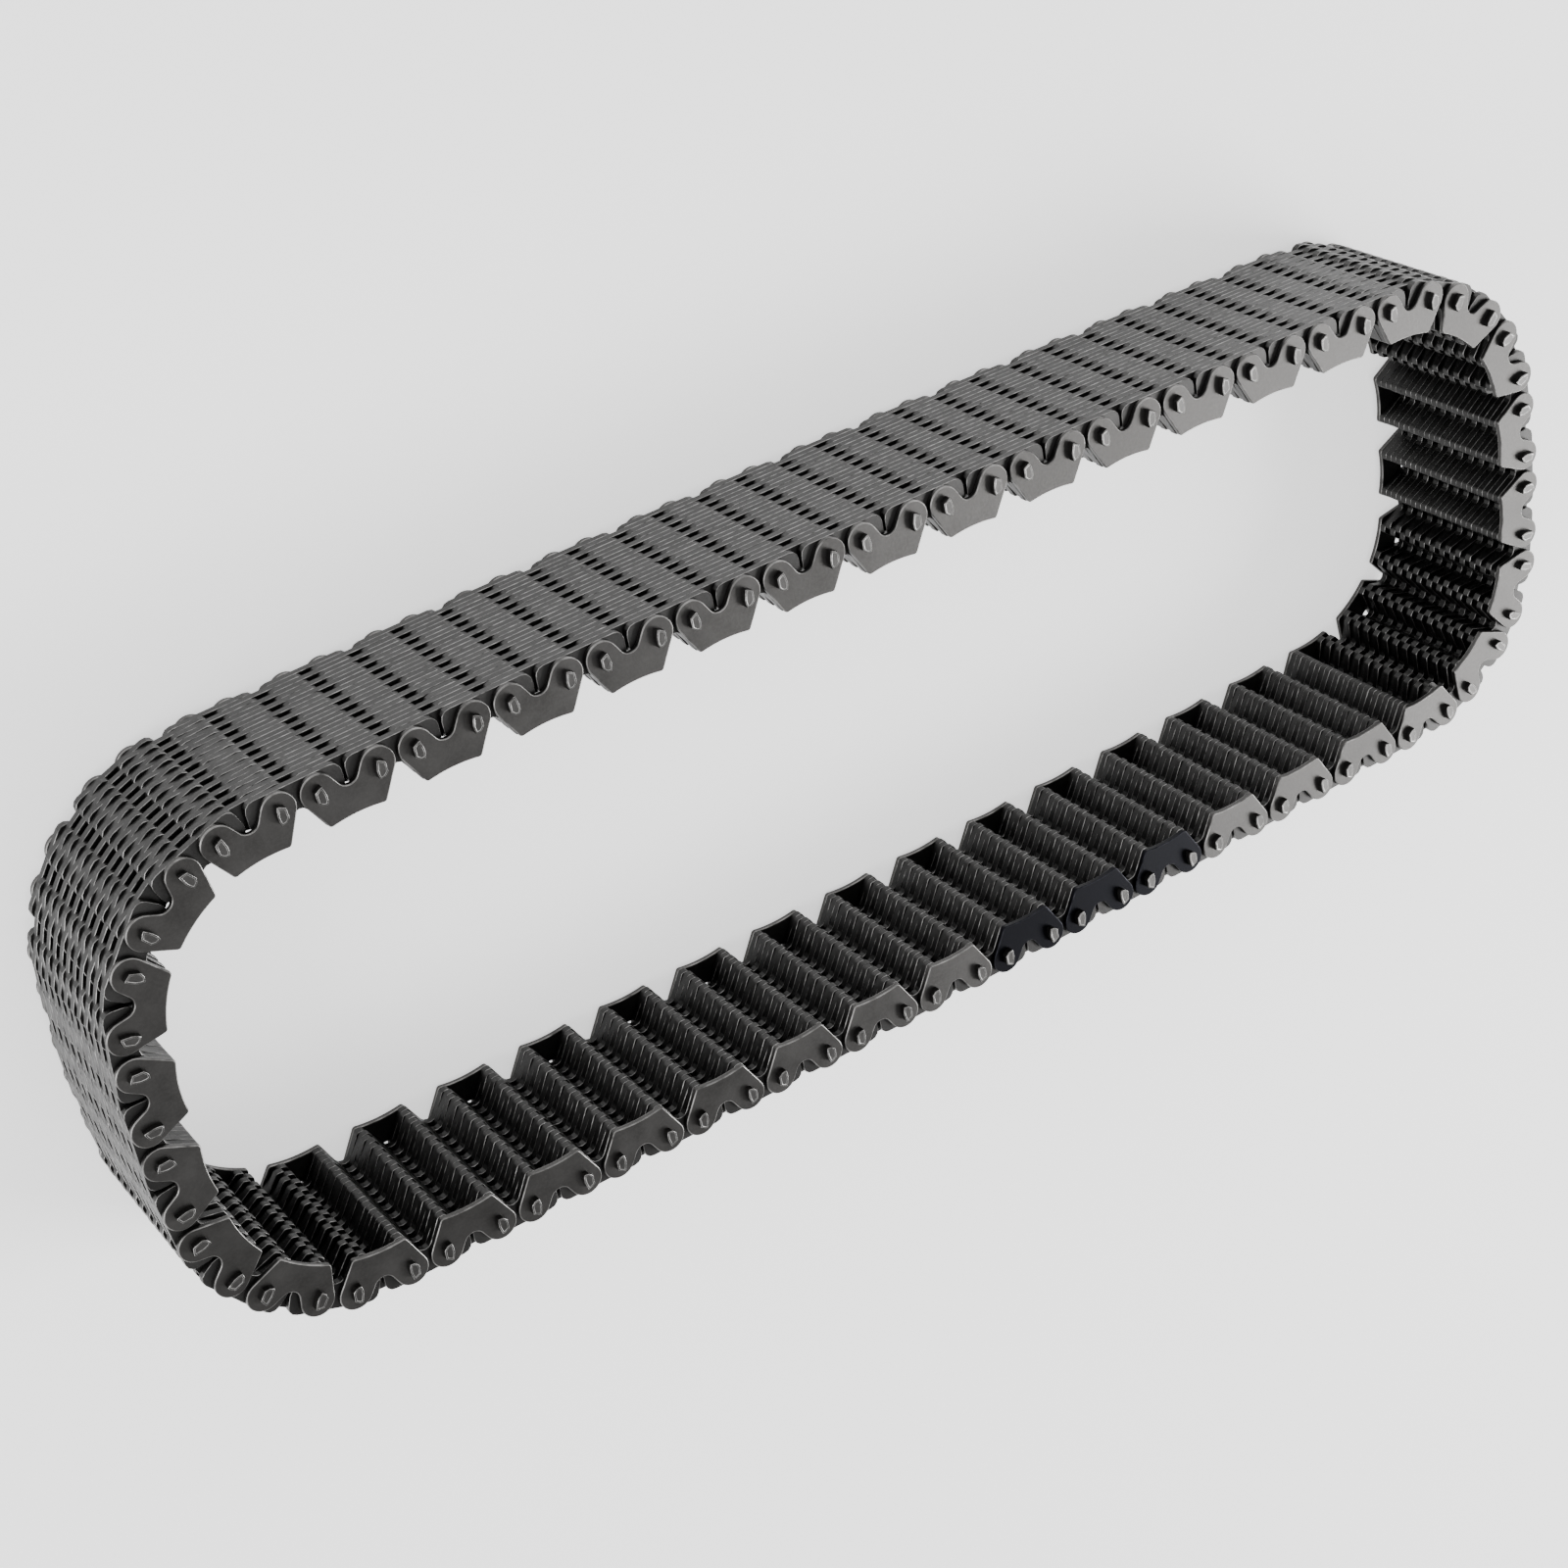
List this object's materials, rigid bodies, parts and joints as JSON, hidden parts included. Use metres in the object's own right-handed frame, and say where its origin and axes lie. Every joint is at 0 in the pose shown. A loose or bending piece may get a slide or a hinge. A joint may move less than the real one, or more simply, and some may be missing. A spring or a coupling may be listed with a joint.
{
  "type": "silent chain",
  "caption": "Endless inverted-tooth steel drive chain with guide plates along both edges, lying on its side in a long rounded loop, with pivots that let the loop flex.",
  "frame": {"origin": "centre of the loop, in the plane of the lower pin ends", "axes": "+X along the long runs, +Y across the loop, +Z along the hinge pins"},
  "size_m": [0.3378, 0.1124, 0.0411],
  "materials": {
    "guide_plate": "tumbled bare steel, bright at the rounded edges",
    "marker_plate": "blued steel, nearly black",
    "link_plate": "dark oiled steel with polished working edges",
    "pin": "ground steel pin ends"
  },
  "bodies": {
    "top_link": {"top_link_front_guide_plate": "guide_plate", "top_link_rear_guide_plate": "guide_plate", "top_link_front_plate_pack": "link_plate", "top_link_rear_plate_pack": "link_plate", "top_link_long_pin_a": "pin", "top_link_long_pin_b": "pin"},
    "link_01": {"link_pair_01": "link_plate"},
    "link_02": {"link_pair_02": "link_plate"},
    "link_03": {"link_pair_03": "link_plate"},
    "link_04": {"link_pair_04": "link_plate"},
    "link_05": {"link_pair_05": "link_plate"},
    "link_06": {"link_pair_06": "link_plate"},
    "link_07": {"link_pair_07": "link_plate"},
    "link_08": {"link_pair_08": "link_plate"},
    "link_09": {"link_pair_09": "link_plate"},
    "link_10": {"link_pair_10": "link_plate"},
    "right_end_link": {"right_end_link_plate_pack": "link_plate", "right_end_link_rocker_pin_a": "pin", "right_end_link_rocker_pin_b": "pin"},
    "link_12": {"link_pair_12": "link_plate"},
    "link_13": {"link_pair_13": "link_plate"},
    "link_14": {"link_pair_14": "link_plate"},
    "link_15": {"link_pair_15": "link_plate"},
    "link_16": {"link_pair_16": "link_plate"},
    "link_17": {"link_pair_17": "link_plate"},
    "link_18": {"link_pair_18": "link_plate"},
    "link_19": {"link_pair_19": "link_plate", "marker_guide_plate_19": "marker_plate"},
    "link_20": {"link_pair_20": "link_plate", "marker_guide_plate_20": "marker_plate"},
    "link_21": {"link_pair_21": "link_plate", "marker_guide_plate_21": "marker_plate"},
    "bottom_link": {"bottom_link_front_guide_plate": "guide_plate", "bottom_link_rear_guide_plate": "guide_plate", "bottom_link_front_plate_pack": "link_plate", "bottom_link_rear_plate_pack": "link_plate", "bottom_link_long_pin_a": "pin", "bottom_link_long_pin_b": "pin"},
    "link_23": {"link_pair_23": "link_plate"},
    "link_24": {"link_pair_24": "link_plate"},
    "link_25": {"link_pair_25": "link_plate"},
    "link_26": {"link_pair_26": "link_plate"},
    "link_27": {"link_pair_27": "link_plate"},
    "link_28": {"link_pair_28": "link_plate"},
    "link_29": {"link_pair_29": "link_plate"},
    "link_30": {"link_pair_30": "link_plate"},
    "link_31": {"link_pair_31": "link_plate"},
    "link_32": {"link_pair_32": "link_plate"},
    "left_end_link": {"left_end_link": "link_plate"},
    "link_34": {"link_pair_34": "link_plate"},
    "link_35": {"link_pair_35": "link_plate"},
    "link_36": {"link_pair_36": "link_plate"},
    "link_37": {"link_pair_37": "link_plate"},
    "link_38": {"link_pair_38": "link_plate"},
    "link_39": {"link_pair_39": "link_plate"},
    "link_40": {"link_pair_40": "link_plate"},
    "link_41": {"link_pair_41": "link_plate"},
    "link_42": {"link_pair_42": "link_plate"},
    "link_43": {"link_pair_43": "link_plate"}
  },
  "joints": [
    {"name": "hinge_00", "type": "hinge", "parent": "top_link", "child": "link_01", "pos_m": [0.00476, 0.0523, 0.02057], "axis": [0, 0, -1], "range_deg": [-2.5, 3.5]},
    {"name": "hinge_01", "type": "hinge", "parent": "link_01", "child": "link_02", "pos_m": [0.02381, 0.05225, 0.02057], "axis": [0, 0, -1], "range_deg": [-2.5, 3.5]},
    {"name": "hinge_02", "type": "hinge", "parent": "link_02", "child": "link_03", "pos_m": [0.04286, 0.05212, 0.02057], "axis": [0, 0, -1], "range_deg": [-2.5, 3.5]},
    {"name": "hinge_03", "type": "hinge", "parent": "link_03", "child": "link_04", "pos_m": [0.06191, 0.05192, 0.02057], "axis": [0, 0, -1], "range_deg": [-2.5, 3.5]},
    {"name": "hinge_04", "type": "hinge", "parent": "link_04", "child": "link_05", "pos_m": [0.08096, 0.05165, 0.02057], "axis": [0, 0, -1], "range_deg": [-2.5, 3.5]},
    {"name": "hinge_05", "type": "hinge", "parent": "link_05", "child": "link_06", "pos_m": [0.10001, 0.0513, 0.02057], "axis": [0, 0, -1], "range_deg": [-3.5, 2.5]},
    {"name": "hinge_06", "type": "hinge", "parent": "link_06", "child": "link_07", "pos_m": [0.11905, 0.05089, 0.02057], "axis": [0, 0, -1], "range_deg": [-3.5, 2.5]},
    {"name": "hinge_07", "type": "hinge", "parent": "link_07", "child": "link_08", "pos_m": [0.13805, 0.04972, 0.02057], "axis": [0, 0, -1], "range_deg": [-3.5, 2.5]},
    {"name": "hinge_08", "type": "hinge", "parent": "link_08", "child": "link_09", "pos_m": [0.15444, 0.04037, 0.02057], "axis": [0, 0, -1], "range_deg": [-3.5, 2.5]},
    {"name": "hinge_09", "type": "hinge", "parent": "link_09", "child": "link_10", "pos_m": [0.16335, 0.02375, 0.02057], "axis": [0, 0, -1], "range_deg": [-8, 8]},
    {"name": "hinge_10", "type": "hinge", "parent": "link_10", "child": "right_end_link", "pos_m": [0.16484, 0.00476, 0.02057], "axis": [0, 0, -1], "range_deg": [-3.5, 2.5]},
    {"name": "hinge_11", "type": "hinge", "parent": "right_end_link", "child": "link_12", "pos_m": [0.16484, -0.00476, 0.02057], "axis": [0, 0, -1], "range_deg": [-3.5, 2.5]},
    {"name": "hinge_12", "type": "hinge", "parent": "link_12", "child": "link_13", "pos_m": [0.16335, -0.02375, 0.02057], "axis": [0, 0, -1], "range_deg": [-8, 8]},
    {"name": "hinge_13", "type": "hinge", "parent": "link_13", "child": "link_14", "pos_m": [0.15444, -0.04037, 0.02057], "axis": [0, 0, -1], "range_deg": [-3.5, 2.5]},
    {"name": "hinge_14", "type": "hinge", "parent": "link_14", "child": "link_15", "pos_m": [0.13805, -0.04972, 0.02057], "axis": [0, 0, -1], "range_deg": [-3.5, 2.5]},
    {"name": "hinge_15", "type": "hinge", "parent": "link_15", "child": "link_16", "pos_m": [0.11905, -0.05089, 0.02057], "axis": [0, 0, -1], "range_deg": [-3.5, 2.5]},
    {"name": "hinge_16", "type": "hinge", "parent": "link_16", "child": "link_17", "pos_m": [0.10001, -0.0513, 0.02057], "axis": [0, 0, -1], "range_deg": [-3.5, 2.5]},
    {"name": "hinge_17", "type": "hinge", "parent": "link_17", "child": "link_18", "pos_m": [0.08096, -0.05165, 0.02057], "axis": [0, 0, -1], "range_deg": [-2.5, 3.5]},
    {"name": "hinge_18", "type": "hinge", "parent": "link_18", "child": "link_19", "pos_m": [0.06191, -0.05192, 0.02057], "axis": [0, 0, -1], "range_deg": [-2.5, 3.5]},
    {"name": "hinge_19", "type": "hinge", "parent": "link_19", "child": "link_20", "pos_m": [0.04286, -0.05212, 0.02057], "axis": [0, 0, -1], "range_deg": [-2.5, 3.5]},
    {"name": "hinge_20", "type": "hinge", "parent": "link_20", "child": "link_21", "pos_m": [0.02381, -0.05225, 0.02057], "axis": [0, 0, -1], "range_deg": [-2.5, 3.5]},
    {"name": "hinge_43", "type": "hinge", "parent": "top_link", "child": "link_43", "pos_m": [-0.00476, 0.0523, 0.02057], "axis": [0, 0, 1], "range_deg": [-2.5, 3.5]},
    {"name": "hinge_42", "type": "hinge", "parent": "link_43", "child": "link_42", "pos_m": [-0.02381, 0.05225, 0.02057], "axis": [0, 0, 1], "range_deg": [-2.5, 3.5]},
    {"name": "hinge_41", "type": "hinge", "parent": "link_42", "child": "link_41", "pos_m": [-0.04286, 0.05212, 0.02057], "axis": [0, 0, 1], "range_deg": [-2.5, 3.5]},
    {"name": "hinge_40", "type": "hinge", "parent": "link_41", "child": "link_40", "pos_m": [-0.06191, 0.05192, 0.02057], "axis": [0, 0, 1], "range_deg": [-2.5, 3.5]},
    {"name": "hinge_39", "type": "hinge", "parent": "link_40", "child": "link_39", "pos_m": [-0.08096, 0.05165, 0.02057], "axis": [0, 0, 1], "range_deg": [-2.5, 3.5]},
    {"name": "hinge_38", "type": "hinge", "parent": "link_39", "child": "link_38", "pos_m": [-0.10001, 0.0513, 0.02057], "axis": [0, 0, 1], "range_deg": [-3.5, 2.5]},
    {"name": "hinge_37", "type": "hinge", "parent": "link_38", "child": "link_37", "pos_m": [-0.11905, 0.05089, 0.02057], "axis": [0, 0, 1], "range_deg": [-3.5, 2.5]},
    {"name": "hinge_36", "type": "hinge", "parent": "link_37", "child": "link_36", "pos_m": [-0.13805, 0.04972, 0.02057], "axis": [0, 0, 1], "range_deg": [-3.5, 2.5]},
    {"name": "hinge_35", "type": "hinge", "parent": "link_36", "child": "link_35", "pos_m": [-0.15444, 0.04037, 0.02057], "axis": [0, 0, 1], "range_deg": [-3.5, 2.5]},
    {"name": "hinge_34", "type": "hinge", "parent": "link_35", "child": "link_34", "pos_m": [-0.16335, 0.02375, 0.02057], "axis": [0, 0, 1], "range_deg": [-8, 8]},
    {"name": "hinge_33", "type": "hinge", "parent": "link_34", "child": "left_end_link", "pos_m": [-0.16484, 0.00476, 0.02057], "axis": [0, 0, 1], "range_deg": [-3.5, 2.5]},
    {"name": "hinge_32", "type": "hinge", "parent": "left_end_link", "child": "link_32", "pos_m": [-0.16484, -0.00476, 0.02057], "axis": [0, 0, 1], "range_deg": [-3.5, 2.5]},
    {"name": "hinge_31", "type": "hinge", "parent": "link_32", "child": "link_31", "pos_m": [-0.16335, -0.02375, 0.02057], "axis": [0, 0, 1], "range_deg": [-8, 8]},
    {"name": "hinge_30", "type": "hinge", "parent": "link_31", "child": "link_30", "pos_m": [-0.15444, -0.04037, 0.02057], "axis": [0, 0, 1], "range_deg": [-3.5, 2.5]},
    {"name": "hinge_29", "type": "hinge", "parent": "link_30", "child": "link_29", "pos_m": [-0.13805, -0.04972, 0.02057], "axis": [0, 0, 1], "range_deg": [-3.5, 2.5]},
    {"name": "hinge_28", "type": "hinge", "parent": "link_29", "child": "link_28", "pos_m": [-0.11905, -0.05089, 0.02057], "axis": [0, 0, 1], "range_deg": [-3.5, 2.5]},
    {"name": "hinge_27", "type": "hinge", "parent": "link_28", "child": "link_27", "pos_m": [-0.10001, -0.0513, 0.02057], "axis": [0, 0, 1], "range_deg": [-3.5, 2.5]},
    {"name": "hinge_26", "type": "hinge", "parent": "link_27", "child": "link_26", "pos_m": [-0.08096, -0.05165, 0.02057], "axis": [0, 0, 1], "range_deg": [-2.5, 3.5]},
    {"name": "hinge_25", "type": "hinge", "parent": "link_26", "child": "link_25", "pos_m": [-0.06191, -0.05192, 0.02057], "axis": [0, 0, 1], "range_deg": [-2.5, 3.5]},
    {"name": "hinge_24", "type": "hinge", "parent": "link_25", "child": "link_24", "pos_m": [-0.04286, -0.05212, 0.02057], "axis": [0, 0, 1], "range_deg": [-2.5, 3.5]},
    {"name": "hinge_23", "type": "hinge", "parent": "link_24", "child": "link_23", "pos_m": [-0.02381, -0.05225, 0.02057], "axis": [0, 0, 1], "range_deg": [-2.5, 3.5]},
    {"name": "hinge_22", "type": "hinge", "parent": "link_23", "child": "bottom_link", "pos_m": [-0.00476, -0.0523, 0.02057], "axis": [0, 0, 1], "range_deg": [-2.5, 3.5]}
  ],
  "couplings": [
    {"joint": "hinge_05", "follows": "hinge_03", "ratio": -1},
    {"joint": "hinge_06", "follows": "hinge_04", "ratio": -1},
    {"joint": "hinge_07", "follows": "hinge_00", "ratio": -1},
    {"joint": "hinge_08", "follows": "hinge_01", "ratio": -1},
    {"joint": "hinge_10", "follows": "hinge_02", "ratio": -1},
    {"joint": "hinge_11", "follows": "hinge_02", "ratio": -1},
    {"joint": "hinge_12", "follows": "hinge_09", "ratio": -1},
    {"joint": "hinge_13", "follows": "hinge_01", "ratio": -1},
    {"joint": "hinge_14", "follows": "hinge_00", "ratio": -1},
    {"joint": "hinge_15", "follows": "hinge_04", "ratio": -1},
    {"joint": "hinge_16", "follows": "hinge_03", "ratio": -1},
    {"joint": "hinge_17", "follows": "hinge_04", "ratio": 1},
    {"joint": "hinge_18", "follows": "hinge_03", "ratio": 1},
    {"joint": "hinge_19", "follows": "hinge_02", "ratio": 1},
    {"joint": "hinge_20", "follows": "hinge_01", "ratio": 1},
    {"joint": "hinge_43", "follows": "hinge_00", "ratio": 1},
    {"joint": "hinge_42", "follows": "hinge_01", "ratio": 1},
    {"joint": "hinge_41", "follows": "hinge_02", "ratio": 1},
    {"joint": "hinge_40", "follows": "hinge_03", "ratio": 1},
    {"joint": "hinge_39", "follows": "hinge_04", "ratio": 1},
    {"joint": "hinge_38", "follows": "hinge_03", "ratio": -1},
    {"joint": "hinge_37", "follows": "hinge_04", "ratio": -1},
    {"joint": "hinge_36", "follows": "hinge_00", "ratio": -1},
    {"joint": "hinge_35", "follows": "hinge_01", "ratio": -1},
    {"joint": "hinge_34", "follows": "hinge_09", "ratio": -1},
    {"joint": "hinge_33", "follows": "hinge_02", "ratio": -1},
    {"joint": "hinge_32", "follows": "hinge_02", "ratio": -1},
    {"joint": "hinge_31", "follows": "hinge_09", "ratio": 1},
    {"joint": "hinge_30", "follows": "hinge_01", "ratio": -1},
    {"joint": "hinge_29", "follows": "hinge_00", "ratio": -1},
    {"joint": "hinge_28", "follows": "hinge_04", "ratio": -1},
    {"joint": "hinge_27", "follows": "hinge_03", "ratio": -1},
    {"joint": "hinge_26", "follows": "hinge_04", "ratio": 1},
    {"joint": "hinge_25", "follows": "hinge_03", "ratio": 1},
    {"joint": "hinge_24", "follows": "hinge_02", "ratio": 1},
    {"joint": "hinge_23", "follows": "hinge_01", "ratio": 1},
    {"joint": "hinge_22", "follows": "hinge_00", "ratio": 1}
  ]
}
